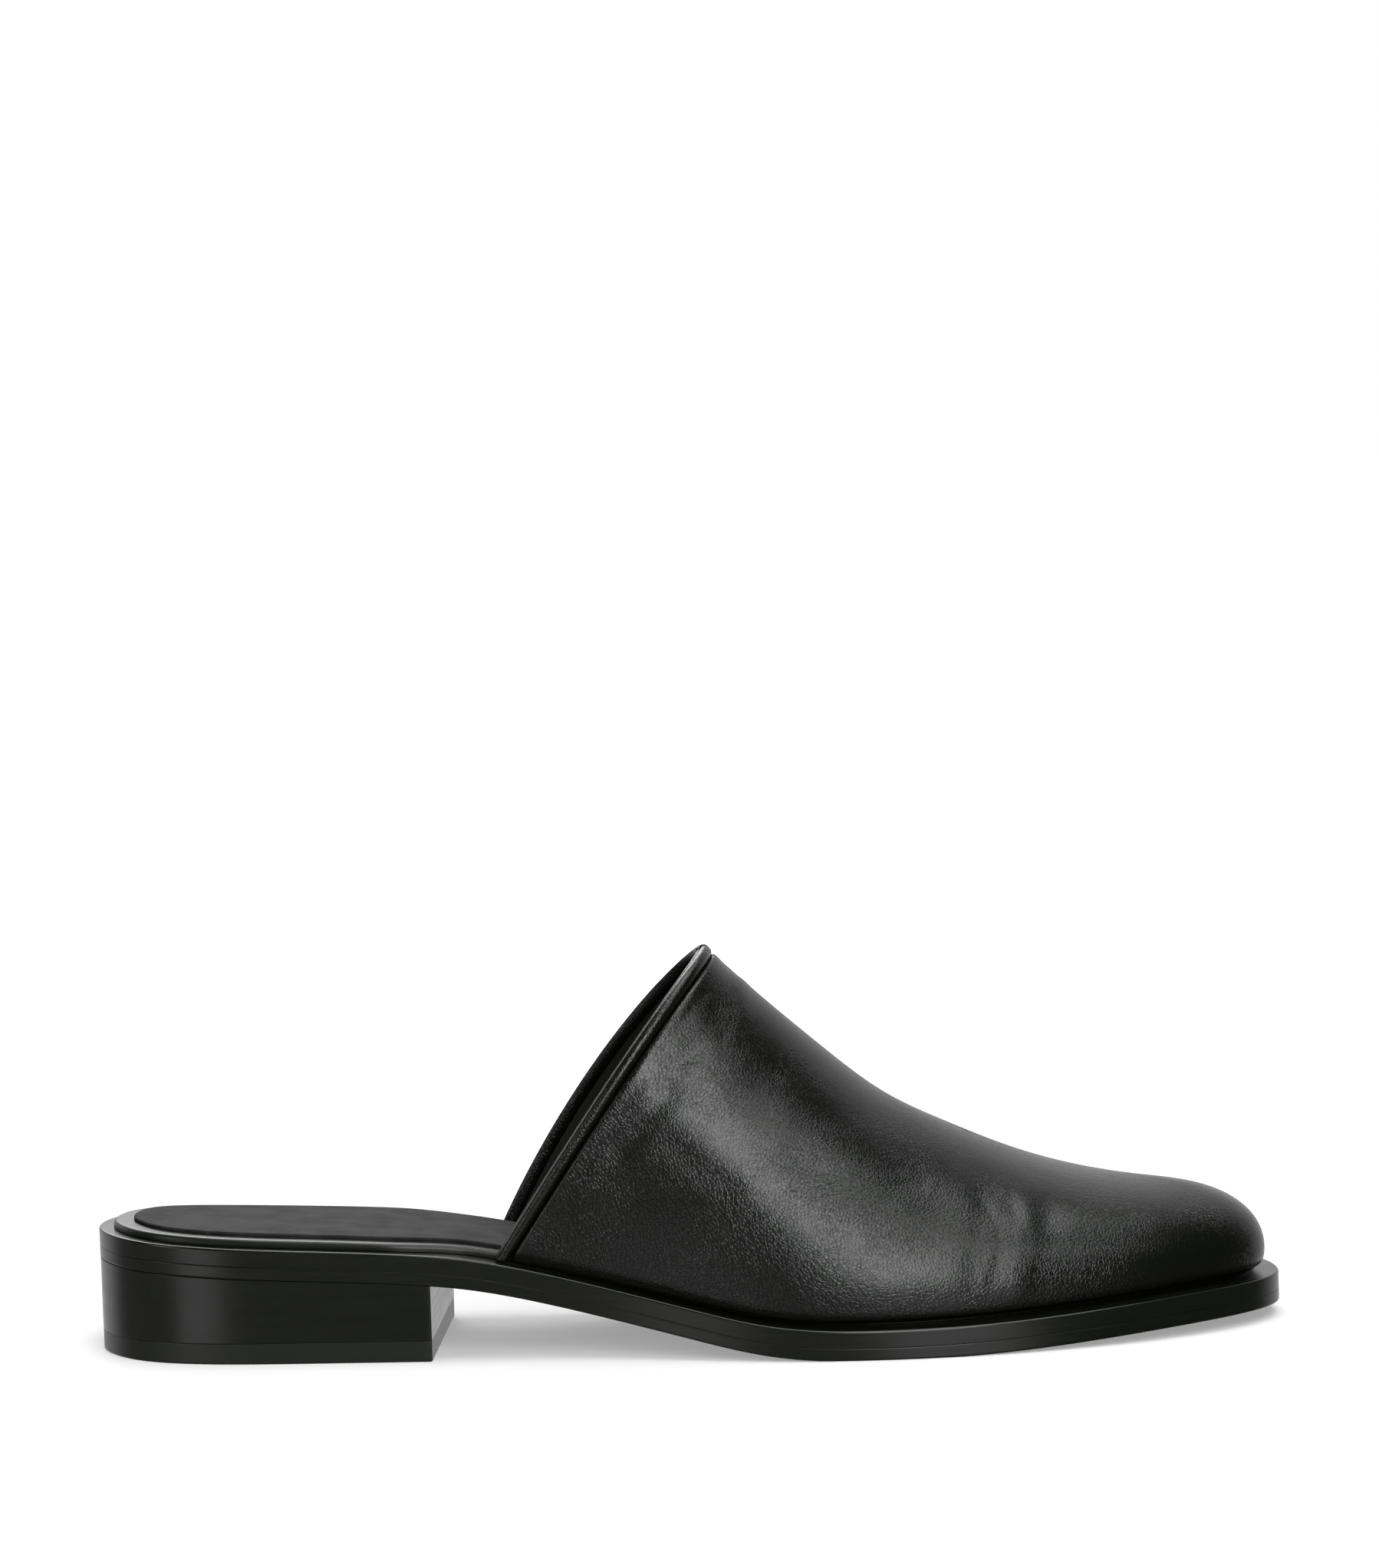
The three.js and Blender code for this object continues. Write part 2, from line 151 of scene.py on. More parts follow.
# ------------------------------------------------------------------ curves
def spline(table, column):
    """A natural cubic spline through one column of a table."""
    x, y = table["along"], table[column]
    last = len(x) - 1
    step = np.diff(x)
    system = np.eye(last + 1)
    turn = np.zeros(last + 1)
    for i in range(1, last):
        system[i, i - 1 : i + 2] = step[i - 1], 2 * (step[i - 1] + step[i]), step[i]
        turn[i] = 6 * ((y[i + 1] - y[i]) / step[i] - (y[i] - y[i - 1]) / step[i - 1])
    bend = np.linalg.solve(system, turn)

    def at(along):
        along = np.clip(along, x[0], x[-1])
        i = np.clip(np.searchsorted(x, along) - 1, 0, last - 1)
        a = (x[i + 1] - along) / step[i]
        b = (along - x[i]) / step[i]
        sag = ((a**3 - a) * bend[i] + (b**3 - b) * bend[i + 1]) * step[i] ** 2 / 6
        return a * y[i] + b * y[i + 1] + sag

    return at


def closed_curve(points):
    """A closed cubic B-spline that passes through the points, one unit of its parameter per point."""
    poles = points.copy()
    for _ in range(24):
        poles += points - (4 * poles + np.roll(poles, 1, 0) + np.roll(poles, -1, 0)) / 6

    def at(u):
        i = np.floor(u).astype(int)
        f = (u - i)[..., None]
        weights = (1 - f) ** 3, 3 * f**3 - 6 * f * f + 4, 3 * f + 3 * f * f - 3 * f**3 + 1, f**3
        return sum(w * poles[(i + k - 1) % len(poles)] for k, w in enumerate(weights)) / 6

    return at


def smooth(low, high, value):
    """0 below low, 1 above high, and a soft step between."""
    share = np.clip((value - low) / (high - low), 0, 1)
    return share * share * (3 - 2 * share)


def between(low, high, share):
    return low + (high - low) * share


def unit(vectors):
    return vectors / np.maximum(np.linalg.norm(vectors, axis=-1, keepdims=True), 1e-9)


TOE = len(OUTLINE["outer"]) - 1
outer_points = np.stack([OUTLINE["outer_along"], -OUTLINE["outer"]], 1)
inner_points = np.stack([OUTLINE["inner_along"], OUTLINE["inner"]], 1)
edge_curve = closed_curve(np.concatenate([outer_points, inner_points[TOE - 1 : 0 : -1]]))
top_at = spline(SOLE_TOP, "height")
ridge_at = spline(RIDGE, "height")
form = {name: spline(VAMP_FORM, name) for name in ("margin", "swell", "wall", "crown")}
reaches = edge_curve(np.arange(200) * 2 * TOE / 200)[:, 1]
toe_front_across = edge_curve(np.array(float(TOE)))[1]
FRAME_CENTRE = np.array([SOLE_LENGTH / 2, (reaches.max() + reaches.min()) / 2, 0])


def bottom_at(along):
    return np.maximum(0, top_at(along) - SOLE)


def edge_at(section, side, inset):
    """A point of the sole's edge at a section number, on the outer (-1) or inner (1) side, inset."""
    section, side, inset = np.broadcast_arrays(section, side, inset)
    u = np.where(side < 0, section, 2 * TOE - section)
    ahead = unit(edge_curve(u + 0.01) - edge_curve(u - 0.01))
    inwards = np.stack([-ahead[..., 1], ahead[..., 0]], -1)
    return edge_curve(u) + inwards * inset[..., None]


# ------------------------------------------------------------------ vamp surface
def ridge_point(section):
    """The ridge point that a section's two edge points rise to."""
    outer = edge_at(section, -1, 0)
    inner = edge_at(section, 1, 0)
    middle = (outer[..., 0] + inner[..., 0]) / 2
    past = np.maximum(0, middle - TOE_PULL_START)
    pull = (SOLE_LENGTH - TOE_PULL_END) / (SOLE_LENGTH - TOE_PULL_START) ** 2
    along = middle - pull * past * past
    at_toe = smooth(TOE - TOE_BLEND_START, TOE - TOE_BLEND_END, section)
    across = between(between(outer[..., 1], inner[..., 1], RIDGE_SHARE), toe_front_across, at_toe)
    return np.stack([along, across, ridge_at(along)], -1)


def vamp_point(section, side, rise):
    """A point of the vamp's outer face. `rise` is 0 at the sole and 1 on the ridge."""
    section, side, rise = np.broadcast_arrays(section, side, rise)
    place = edge_at(section, side, 0)[..., 0]
    foot = edge_at(section, side, form["margin"](place))
    crown = ridge_point(section)
    start = np.concatenate([foot, (top_at(foot[..., 0]) + GAP)[..., None]], -1)
    outwards = start - crown
    outwards[..., 2] = 0
    half_width = np.linalg.norm(outwards, axis=-1)
    outwards = unit(outwards)
    wall = start + outwards * form["swell"](place)[..., None]
    wall[..., 2] += (crown - start)[..., 2] * form["wall"](place)
    slope = (ridge_at(crown[..., 0] + 1) - ridge_at(crown[..., 0] - 1)) / 2
    shoulder = crown + outwards * (half_width * form["crown"](place))[..., None]
    shoulder[..., 2] += slope * (shoulder - crown)[..., 0]
    t = rise[..., None]
    rest = 1 - t
    return rest**3 * start + 3 * rest**2 * t * wall + 3 * rest * t * t * shoulder + t**3 * crown


def topline_along(height, side):
    foot_height = top_at(TOPLINE_FOOT)
    share = (height - foot_height) / (RIDGE_TOP - foot_height)
    bow = 4 * np.where(side < 0, OUTER_BOW, INNER_BOW) * share * (1 - share)
    roll = TOPLINE_ROLL * np.maximum(0, share) ** 5
    return TOPLINE_FOOT + TOPLINE_RAKE * (height - foot_height) - bow + roll


TOPLINE_FIRST = 4.0
TOPLINE_LAST = 12.0


def topline_section(side, rise):
    """The section number where the topline crosses a given rise of the vamp."""
    low = np.full(rise.shape, TOPLINE_FIRST)
    high = np.full(rise.shape, TOPLINE_LAST)
    for _ in range(HALVINGS):
        middle = (low + high) / 2
        point = vamp_point(middle, side, rise)
        short = point[..., 0] < topline_along(point[..., 2], side)
        low = np.where(short, middle, low)
        high = np.where(short, high, middle)
    return (low + high) / 2


def over_the_foot(count):
    """Side and rise of the columns that run from the outer edge over the ridge to the inner edge."""
    reach = np.linspace(0, 2, 2 * count + 1)
    side = np.where(reach <= 1, -1, 1)
    rise = np.where(reach <= 1, reach, 2 - reach)
    return side, rise


# ------------------------------------------------------------------ meshes
def weld(points, faces):
    """Drops repeated corners, the faces that are left without area, and the points that no face uses."""
    kept = []
    for face in faces:
        corners = [v for k, v in enumerate(face) if v != face[k - 1]]
        if len(set(corners)) > 2:
            kept.append(corners)
    used = np.unique(np.concatenate([np.array(face) for face in kept]))
    number = np.full(len(points), -1)
    number[used] = np.arange(len(used))
    return points[used], [number[face].tolist() for face in kept]


def make_piece(name, points, faces, material, nodes, sharp_angle=40):
    """A mesh from points in millimetres, riding on the one body and standing for the CAD nodes."""
    mesh = bpy.data.meshes.new(name)
    placed = (points.reshape(-1, 3) - FRAME_CENTRE) * MM
    mesh.from_pydata(placed.tolist(), [], faces)
    mesh.polygons.foreach_set("use_smooth", [True] * len(mesh.polygons))
    mesh.set_sharp_from_angle(angle=math.radians(sharp_angle))
    mesh.materials.append(material)
    piece = bpy.data.objects.new(name, mesh)
    bpy.context.scene.collection.objects.link(piece)
    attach(piece, "root")
    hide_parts(*nodes)
    return piece


def ring_faces(rings, width):
    """Quads between closed rings of the same number of points."""
    r, i = np.meshgrid(np.arange(rings - 1), np.arange(width), indexing="ij")
    after = (i + 1) % width
    quads = [r * width + i, (r + 1) * width + i, (r + 1) * width + after, r * width + after]
    return np.stack(quads, -1).reshape(-1, 4)


def grid_faces(number):
    """Quads between the rows and columns of a grid of point numbers."""
    return np.stack([number[:-1, :-1], number[1:, :-1], number[1:, 1:], number[:-1, 1:]], -1).reshape(-1, 4)


def grid_normals(points):
    """Normals of a grid of points, whose last row is the two halves of one line."""
    along = np.gradient(points, axis=0)
    around = np.gradient(points, axis=1)
    normals = unit(np.cross(along, around))
    normals[-1] = unit(normals[-1] + normals[-1, ::-1])
    ridge = points.shape[1] // 2
    normals[-1, ridge] = normals[-2, ridge]
    return normals


# ------------------------------------------------------------------ flat pieces
SOLE_SECTIONS = 190
FACE_REACHES = (0, 0.3, 0.6, 0.85, 1)
ROUND_STEPS = 5


def quarter(steps):
    """Sine and cosine of the steps of a quarter turn."""
    turn = np.linspace(0, math.pi / 2, steps + 1)
    return list(zip(np.sin(turn), np.cos(turn)))


def slab_profile(top_round, bottom_round):
    """Steps from the middle of the top face over the edge to the middle of the bottom face.

    Each is (reach, inset, face, depth): how far from the middle line to the edge, how far inside the edge,
    whether it is measured from the top (1) or the bottom (0), and how far below or above that face.
    """
    hold = 0.35
    turn = quarter(ROUND_STEPS)
    steps = [(reach, top_round + hold, 1, 0) for reach in FACE_REACHES]
    steps += [(1, top_round * (1 - s), 1, top_round * (1 - c)) for s, c in turn]
    steps += [(1, 0, 1, top_round + hold), (1, 0, 0, bottom_round + hold)]
    steps += [(1, bottom_round * (1 - c), 0, bottom_round * (1 - s)) for c, s in reversed(turn)]
    steps += [(reach, bottom_round + hold, 0, 0) for reach in reversed(FACE_REACHES)]
    return steps


def slab(name, rim, middle, profile, top, bottom, material, nodes, sharp_angle=40):
    """A flat piece that follows the sole, from its outline, its middle line and the profile of its edge."""
    rings = []
    for reach, inset, face, depth in profile:
        flat = between(middle, rim(inset), reach)
        height = top(flat[:, 0]) - depth if face else bottom(flat[:, 0]) + depth
        rings.append(np.concatenate([flat, height[:, None]], 1))
    points = np.array(rings)
    count, width = points.shape[:2]
    same = np.arange(count * width).reshape(count, width)
    ring = np.arange(width)
    for end in (0, -1):
        same[end] = same[end, np.minimum(ring, width - ring)]
    points, faces = weld(points.reshape(-1, 3), same.reshape(-1)[ring_faces(count, width)].tolist())
    return make_piece(name, points, faces, material, nodes, sharp_angle)


section_steps = np.linspace(0, TOE, SOLE_SECTIONS + 1)
ring_section = np.concatenate([section_steps, np.linspace(TOE, 0, SOLE_SECTIONS + 1)[1:-1]])
ring_side = np.where(np.arange(2 * SOLE_SECTIONS) <= SOLE_SECTIONS, -1, 1)
sole_middle = (edge_at(ring_section, -1, 0) + edge_at(ring_section, 1, 0)) / 2
sole_middle[:, 0] = between(END_REACH, SOLE_LENGTH - END_REACH, sole_middle[:, 0] / SOLE_LENGTH)


def sole_rim(extra):
    """The sole's outline moved inwards, by the same amount all round or by an amount for each section."""
    return lambda inset: edge_at(ring_section, ring_side, inset + extra)


def section_at_along(along, side):
    low, high = 0, TOE
    for _ in range(HALVINGS):
        middle = (low + high) / 2
        if edge_at(middle, side, 0)[0] < along:
            low = middle
        else:
            high = middle
    return (low + high) / 2


HEEL_SIDE_STEPS = 60
BREAST_STEPS = 24
CORNER_STEPS = 4
CORNER_CUT = 0.35
HEEL_MIDDLE_BACK = (28, 1.5)
HEEL_MIDDLE_FRONT = (56, -0.5)
HEEL_INSET = 0.06
LIFT_INSET = 0.1
breast_section = {-1: section_at_along(BREAST_OUTER, -1), 1: section_at_along(BREAST_INNER, 1)}


def heel_half(side, inset):
    """One side of the heel's outline: the curved wall, the eased corner and half of the breast's face."""
    wall = edge_at(breast_section[side] * np.linspace(0, 1, HEEL_SIDE_STEPS), side, inset)
    corner = wall[-1] - (inset, 0)
    other = edge_at(breast_section[-side], -side, inset) - (inset, 0)
    back = corner + unit(wall[-4] - corner) * CORNER_CUT
    face = corner + unit(other - corner) * CORNER_CUT
    t = np.linspace(0, 1, CORNER_STEPS + 1)[:, None]
    eased = (1 - t) ** 2 * back + 2 * t * (1 - t) * corner + t * t * face
    front = between(face, (corner + other) / 2, np.linspace(0, 1, BREAST_STEPS + 1)[1:, None])
    return np.concatenate([wall[:-1], eased, front])


def heel_rim(extra):
    def rim(inset):
        outer = heel_half(-1, inset + extra)
        inner = heel_half(1, inset + extra)
        return np.concatenate([outer, inner[-2:0:-1]])

    return rim


heel_width = len(heel_rim(0)(0))
heel_share = np.minimum(np.arange(heel_width), heel_width - np.arange(heel_width)) / (heel_width / 2)
heel_middle = between(np.array(HEEL_MIDDLE_BACK), np.array(HEEL_MIDDLE_FRONT), heel_share[:, None])


def insole_inset():
    """Behind the vamp the insole shows as a narrow rand, and inside it keeps clear of the vamp's wall."""
    along = (edge_at(ring_section, -1, 0) + edge_at(ring_section, 1, 0))[:, 0] / 2
    inside = form["margin"](np.maximum(along, TOPLINE_FOOT)) + WALL + INSOLE_CLEARANCE
    return between(INSOLE_MARGIN, inside, smooth(INSOLE_NARROWS, INSOLE_NARROW, along))


# ------------------------------------------------------------------ vamp
ACROSS = 114
ALONG = 288
STRIDE = 3
EDGE_START = 1.6
FOLD_ROWS = (0, 0.1, 0.22, 0.36, 0.52, 0.7, 0.9, 1.15, 1.45, 1.8, 2.2, 2.7, 3.3, 4.0, 4.7)
RELIEF_FADES = 246
RELIEF_ENDS = 258
ARC_STEPS = 12

# The leather is folded in at the topline: how far its face stands proud, from the fold's edge.
FOLD = columns(
    "along lift",
    (0, -1.0),
    (0.15, -0.62),
    (0.35, -0.3),
    (0.65, -0.02),
    (1.0, 0.12),
    (1.5, 0.17),
    (2.2, 0.13),
    (3.2, 0.04),
    (4.6, 0),
)
# And it is drawn in under itself where it meets the sole, by its height over the foot.
TUCK = columns(
    "along lift",
    (0, -1.5),
    (0.5, -1.25),
    (1.1, -0.75),
    (1.9, -0.28),
    (3, -0.05),
    (4.4, 0),
)
fold_lift = spline(FOLD, "lift")
tuck_lift = spline(TUCK, "lift")

# Creases on the outer side: soft troughs (depth below 0) and ridges (above 0), each an arc through three
# places on the side of the vamp. The main ones come first, and the rows of width 1.0 to 1.2 are wrinkles.
OUTER_RELIEF = columns(
    "from_along from_height by_along by_height to_along to_height width depth",
    (127, 58, 147, 37, 180, 30, 6.5, 0.4),
    (152, 58, 158, 49, 162, 40, 7.0, -0.5),
    (158, 50, 166, 46, 176, 41, 6.0, 0.5),
    (196, 40, 204, 33, 214, 28, 4.0, -0.3),
    (201, 34, 199, 26, 197, 15, 2.6, -0.12),
    (210, 31, 209, 23, 207, 14, 3.2, 0.26),
    (130, 62, 133, 64, 137, 67, 2.4, -0.3),
    (131, 58, 127, 53, 120, 46, 2.8, -0.35),
    (131, 48, 136, 43, 143, 38, 3.2, -0.3),
    (143, 72, 144, 77, 146, 82, 2.4, -0.2),
    (148, 74, 148, 78, 149, 82, 2.4, 0.2),
    (114, 38, 117, 36, 119, 33, 2.2, 0.16),
    (158, 44, 169, 40, 182, 39, 1.1, -0.07),
    (163, 41, 174, 37, 187, 36, 1.1, -0.07),
    (150, 47, 158, 42, 168, 37, 1.1, -0.05),
    (199, 33, 203, 25, 201, 15, 1.2, -0.09),
    (206, 31, 209, 25, 208, 18, 1.2, -0.06),
    (140, 71, 142, 75, 143, 80, 1.0, -0.09),
    (143, 69, 146, 73, 146, 79, 1.0, -0.09),
    (136, 74, 138, 77, 141, 79, 1.0, -0.07),
)
# The inner side has the same kind of creases, and fewer.
INNER_RELIEF = columns(
    "from_along from_height by_along by_height to_along to_height width depth",
    (130, 60, 148, 42, 180, 32, 6.5, 0.5),
    (150, 30, 160, 26, 172, 24, 5.0, -0.3),
    (196, 34, 195, 26, 192, 15, 3.0, -0.15),
    (132, 50, 136, 44, 142, 39, 3.2, -0.25),
)


def relief(points, table):
    """How far a face stands proud of the plain vamp at each point, from a table of arcs."""
    total = np.zeros(points.shape[:-1])
    place = points[..., [0, 2]]
    for row in zip(*table.values()):
        start, by, end = np.array(row[0:2]), np.array(row[2:4]), np.array(row[4:6])
        width, depth = row[6:8]
        bend = 2 * by - (start + end) / 2
        t = np.linspace(0, 1, ARC_STEPS + 1)[:, None]
        arc = (1 - t) ** 2 * start + 2 * t * (1 - t) * bend + t * t * end
        nearest = np.full(total.shape, np.inf)
        for spot, after in zip(arc, arc[1:]):
            run = after - spot
            share = np.clip((place - spot) @ run / (run @ run), 0, 1)
            nearest = np.minimum(nearest, np.sum((place - spot - share[..., None] * run) ** 2, -1))
        total += depth * np.exp(-nearest / width**2)
    return total


def vamp_grid():
    """The vamp's outer face, the body under its folded edge, and the body's normals."""
    side, rise = over_the_foot(ACROSS)
    start = topline_section(side, rise)
    probe = 0.1
    moved = vamp_point(start + probe, side, rise) - vamp_point(start, side, rise)
    per_unit = np.linalg.norm(moved, axis=-1) / probe
    rows = [start + (EDGE_START + distance) / per_unit for distance in FOLD_ROWS]
    shares = np.linspace(0, 1, ALONG - len(rows) + 2)[1:]
    rows += [between(rows[-1], TOE, share) for share in shares]
    points = vamp_point(np.array(rows), side, rise)
    normals = grid_normals(points)
    step = np.linalg.norm(np.diff(points, axis=0), axis=-1)
    from_edge = np.concatenate([np.zeros((1, points.shape[1])), np.cumsum(step, 0)])
    step = np.linalg.norm(np.diff(points, axis=1), axis=-1)
    climb = np.concatenate([np.zeros((points.shape[0], 1)), np.cumsum(step, 1)], 1)
    over_foot = np.minimum(climb, climb[:, -1:] - climb)
    raised = np.where(side < 0, relief(points, OUTER_RELIEF), relief(points, INNER_RELIEF))
    raised = raised * (1 - smooth(RELIEF_FADES, RELIEF_ENDS, points[..., 0]))
    body = points + normals * (raised + tuck_lift(over_foot))[..., None]
    face = body + normals * fold_lift(from_edge)[..., None]
    return face, body, grid_normals(body)


def shell(name, face, back, material, nodes):
    """A closed shell from an outer grid and an inner grid, which may skip rows and columns evenly."""
    rows, across = face.shape[:2]
    back_rows, back_across = back.shape[:2]
    number = np.arange(rows * across).reshape(rows, across)
    back_number = number.size + np.arange(back_rows * back_across).reshape(back_rows, back_across)
    for grid in (number, back_number):
        grid[-1] = np.minimum(grid[-1], grid[-1, ::-1])
    faces = grid_faces(number).tolist()
    faces += [quad[::-1] for quad in grid_faces(back_number).tolist()]
    stride = (rows - 1) // (back_rows - 1)
    rims = [
        (number[0, ::-1], back_number[0, ::-1]),
        (number[:, 0], back_number[:, 0]),
        (number[::-1, -1], back_number[::-1, -1]),
    ]
    for line, back_line in rims:
        for k in range(len(back_line) - 1):
            stretch = line[k * stride : (k + 1) * stride + 1].tolist()
            faces.append(stretch[::-1] + back_line[k : k + 2].tolist())
    points, faces = weld(np.concatenate([face.reshape(-1, 3), back.reshape(-1, 3)]), faces)
    return make_piece(name, points, faces, material, nodes, sharp_angle=70)


# ------------------------------------------------------------------ topline bead
# The section of the rolled binding: a bead, a groove behind it and the thin edge of its lining side.
BEAD = columns(
    "back out",
    (-1.45, -0.7),
    (-1.6, 0),
    (-1.35, 0.85),
    (-0.7, 1.42),
    (0.1, 1.55),
    (0.85, 1.25),
    (1.3, 0.65),
    (1.36, 0.15),
    (1.22, -0.15),
    (1.45, -0.35),
    (1.6, -0.65),
    (1.5, -1.0),
    (0.9, -1.3),
    (0, -1.4),
    (-0.9, -1.2),
)
BEAD_STEPS = 300
BEAD_SIDES = 36
BEAD_FOOT = 0.002
SECTION_STEP = 0.1
RISE_STEP = 0.02


def make_binding(material):
    reach = np.linspace(0, 2, BEAD_STEPS + 1)
    side = np.where(reach <= 1, -1, 1)
    rise = BEAD_FOOT + (1 - BEAD_FOOT) * np.where(reach <= 1, reach, 2 - reach)
    section = topline_section(side, rise)
    edge = vamp_point(section, side, rise)
    ahead = vamp_point(section + SECTION_STEP, side, rise)
    over = vamp_point(section, side, np.maximum(0, rise - RISE_STEP))
    back = unit(edge - ahead)
    inwards = unit(np.cross(back, unit(over - edge)) * side[:, None])
    centre = edge + inwards * WALL / 2
    outline = closed_curve(np.stack([BEAD["back"], BEAD["out"]], 1))
    section_points = outline(np.arange(BEAD_SIDES) * len(BEAD["back"]) / BEAD_SIDES)
    backwards, outwards = section_points[:, :1], section_points[:, 1:]
    rings = centre[:, None] + back[:, None] * backwards - inwards[:, None] * outwards
    tips = np.repeat(centre[[0, -1], None], BEAD_SIDES, 1)
    rings = np.concatenate([tips[:1], rings, tips[1:]])
    count, width = rings.shape[:2]
    same = np.arange(count * width).reshape(count, width)
    same[0] = same[0, 0]
    same[-1] = same[-1, 0]
    points, faces = weld(rings.reshape(-1, 3), same.reshape(-1)[ring_faces(count, width)].tolist())
    return make_piece("topline_bead", points, faces, material, ["topline_binding"])


# ------------------------------------------------------------------ materials
class Paint:
    """One material, with short ways to add nodes. Values set here go on the shader's own sockets."""

    def __init__(self, name, **sockets):
        self.material = bpy.data.materials.new(name)
        self.material.use_nodes = True
        self.tree = self.material.node_tree
        self.shader = self.tree.nodes["Principled BSDF"]
        for socket, value in sockets.items():
            self.shader.inputs[socket.replace("_", " ")].default_value = value
        self.place = self.add("ShaderNodeTexCoord").outputs["Object"]

    def add(self, kind, links=None, **settings):
        """A node; `links` gives a socket or a value for each of its inputs by name or number."""
        node = self.tree.nodes.new(kind)
        for key, value in settings.items():
            setattr(node, key, value)
        for key, value in (links or {}).items():
            if isinstance(value, bpy.types.NodeSocket):
                self.tree.links.new(value, node.inputs[key])
            else:
                node.inputs[key].default_value = value
        return node

    def math(self, operation, *values):
        return self.add("ShaderNodeMath", dict(enumerate(values)), operation=operation).outputs[0]

    def vector(self, operation, links):
        return self.add("ShaderNodeVectorMath", links, operation=operation).outputs[0]

    def noise(self, size_mm, detail=3.0, roughness=0.5, place=None):
        links = {"Vector": place or self.place, "Scale": 1 / (size_mm * MM)}
        links |= {"Detail": detail, "Roughness": roughness}
        return self.add("ShaderNodeTexNoise", links).outputs["Fac"]

    def cells(self, size_mm, feature, place=None):
        links = {"Vector": place or self.place, "Scale": 1 / (size_mm * MM)}
        return self.add("ShaderNodeTexVoronoi", links, feature=feature).outputs["Distance"]

    def wander(self, reach_mm, size_mm):
        """The place, moved about by a noise, so that a pattern on it loses its regular form."""
        links = {"Vector": self.place, "Scale": 1 / (size_mm * MM), "Detail": 2.0}
        colour = self.add("ShaderNodeTexNoise", links).outputs["Color"]
        away = self.vector("SUBTRACT", {0: colour, 1: (0.5, 0.5, 0.5)})
        moved = self.vector("SCALE", {0: away, "Scale": 2 * reach_mm * MM})
        return self.vector("ADD", {0: self.place, 1: moved})

    def stretched(self, x, y, z):
        """The place, scaled on each axis."""
        return self.add("ShaderNodeMapping", {"Vector": self.place, "Scale": (x, y, z)}).outputs[0]

    def ramp(self, value, low, high, to_low=0.0, to_high=1.0, smooth_step=False):
        links = {"Value": value, 1: low, 2: high, 3: to_low, 4: to_high}
        kind = "SMOOTHSTEP" if smooth_step else "LINEAR"
        return self.add("ShaderNodeMapRange", links, interpolation_type=kind).outputs[0]

    def blend(self, share, first, second):
        node = self.add("ShaderNodeMix", {0: share, 6: first, 7: second}, data_type="RGBA")
        return node.outputs[2]

    def set(self, socket, value):
        self.tree.links.new(value, self.shader.inputs[socket])

    def bump(self, height_mm):
        """Relief from a height in millimetres."""
        links = {"Height": height_mm, "Strength": 1.0, "Distance": MM}
        self.set("Normal", self.add("ShaderNodeBump", links).outputs[0])


def grey(value, tint=(1.0, 1.0, 1.0)):
    return (value * tint[0], value * tint[1], value * tint[2], 1.0)


# The blacks lean to green by this much, and the sock by less.
BLACK_TINT = (1.0, 1.35, 0.8)
SOCK_TINT = (1.0, 1.05, 1.0)


def calf_material():
    paint = Paint("black_calf", Base_Color=grey(0.004, BLACK_TINT), Roughness=0.24, IOR=1.5)
    cracks = paint.cells(0.8, "DISTANCE_TO_EDGE", paint.wander(0.3, 1.2))
    pebble = paint.ramp(cracks, 0.0, 0.24, smooth_step=True)
    fine = paint.noise(0.35, 2.0)
    soft = paint.noise(3.0, 2.0)
    strength = paint.ramp(paint.noise(14.0, 2.0), 0.35, 0.65, 0.02, 0.04)
    height = paint.math("MULTIPLY", pebble, strength)
    height = paint.math("MULTIPLY_ADD", fine, 0.014, height)
    height = paint.math("MULTIPLY_ADD", soft, 0.05, height)
    paint.bump(height)
    cloud = paint.noise(22.0, 3.0)
    paint.set("Roughness", paint.ramp(cloud, 0.3, 0.7, 0.22, 0.27))
    paint.set("Base Color", paint.blend(cloud, grey(0.0018, BLACK_TINT), grey(0.003, BLACK_TINT)))
    return paint.material


def lining_material():
    paint = Paint("black_lining", Base_Color=grey(0.004), Roughness=0.6, Specular_IOR_Level=0.3)
    paint.bump(paint.math("MULTIPLY", paint.noise(0.8, 3.0), 0.04))
    cloud = paint.noise(15.0)
    paint.set("Base Color", paint.blend(cloud, grey(0.003, BLACK_TINT), grey(0.005, BLACK_TINT)))
    return paint.material


def edge_material():
    paint = Paint("waxed_edge", Base_Color=grey(0.004, BLACK_TINT), Roughness=0.22)
    streaks = paint.noise(2.0, 4.0, place=paint.stretched(0.12, 0.12, 3.0))
    paint.bump(paint.math("MULTIPLY", streaks, 0.012))
    paint.set("Roughness", paint.ramp(streaks, 0.3, 0.7, 0.19, 0.26))
    paint.set("Base Color", paint.blend(streaks, grey(0.003, BLACK_TINT), grey(0.0045, BLACK_TINT)))
    return paint.material


def heel_material():
    paint = Paint("stacked_heel", Base_Color=grey(0.004, BLACK_TINT), Roughness=0.2)
    layers = paint.noise(2.0, 4.0, place=paint.stretched(0.1, 0.1, 2.0))
    paint.bump(paint.math("MULTIPLY", layers, 0.006))
    paint.set("Roughness", paint.ramp(layers, 0.3, 0.7, 0.18, 0.24))
    paint.set("Base Color", paint.blend(layers, grey(0.003, BLACK_TINT), grey(0.0045, BLACK_TINT)))
    return paint.material


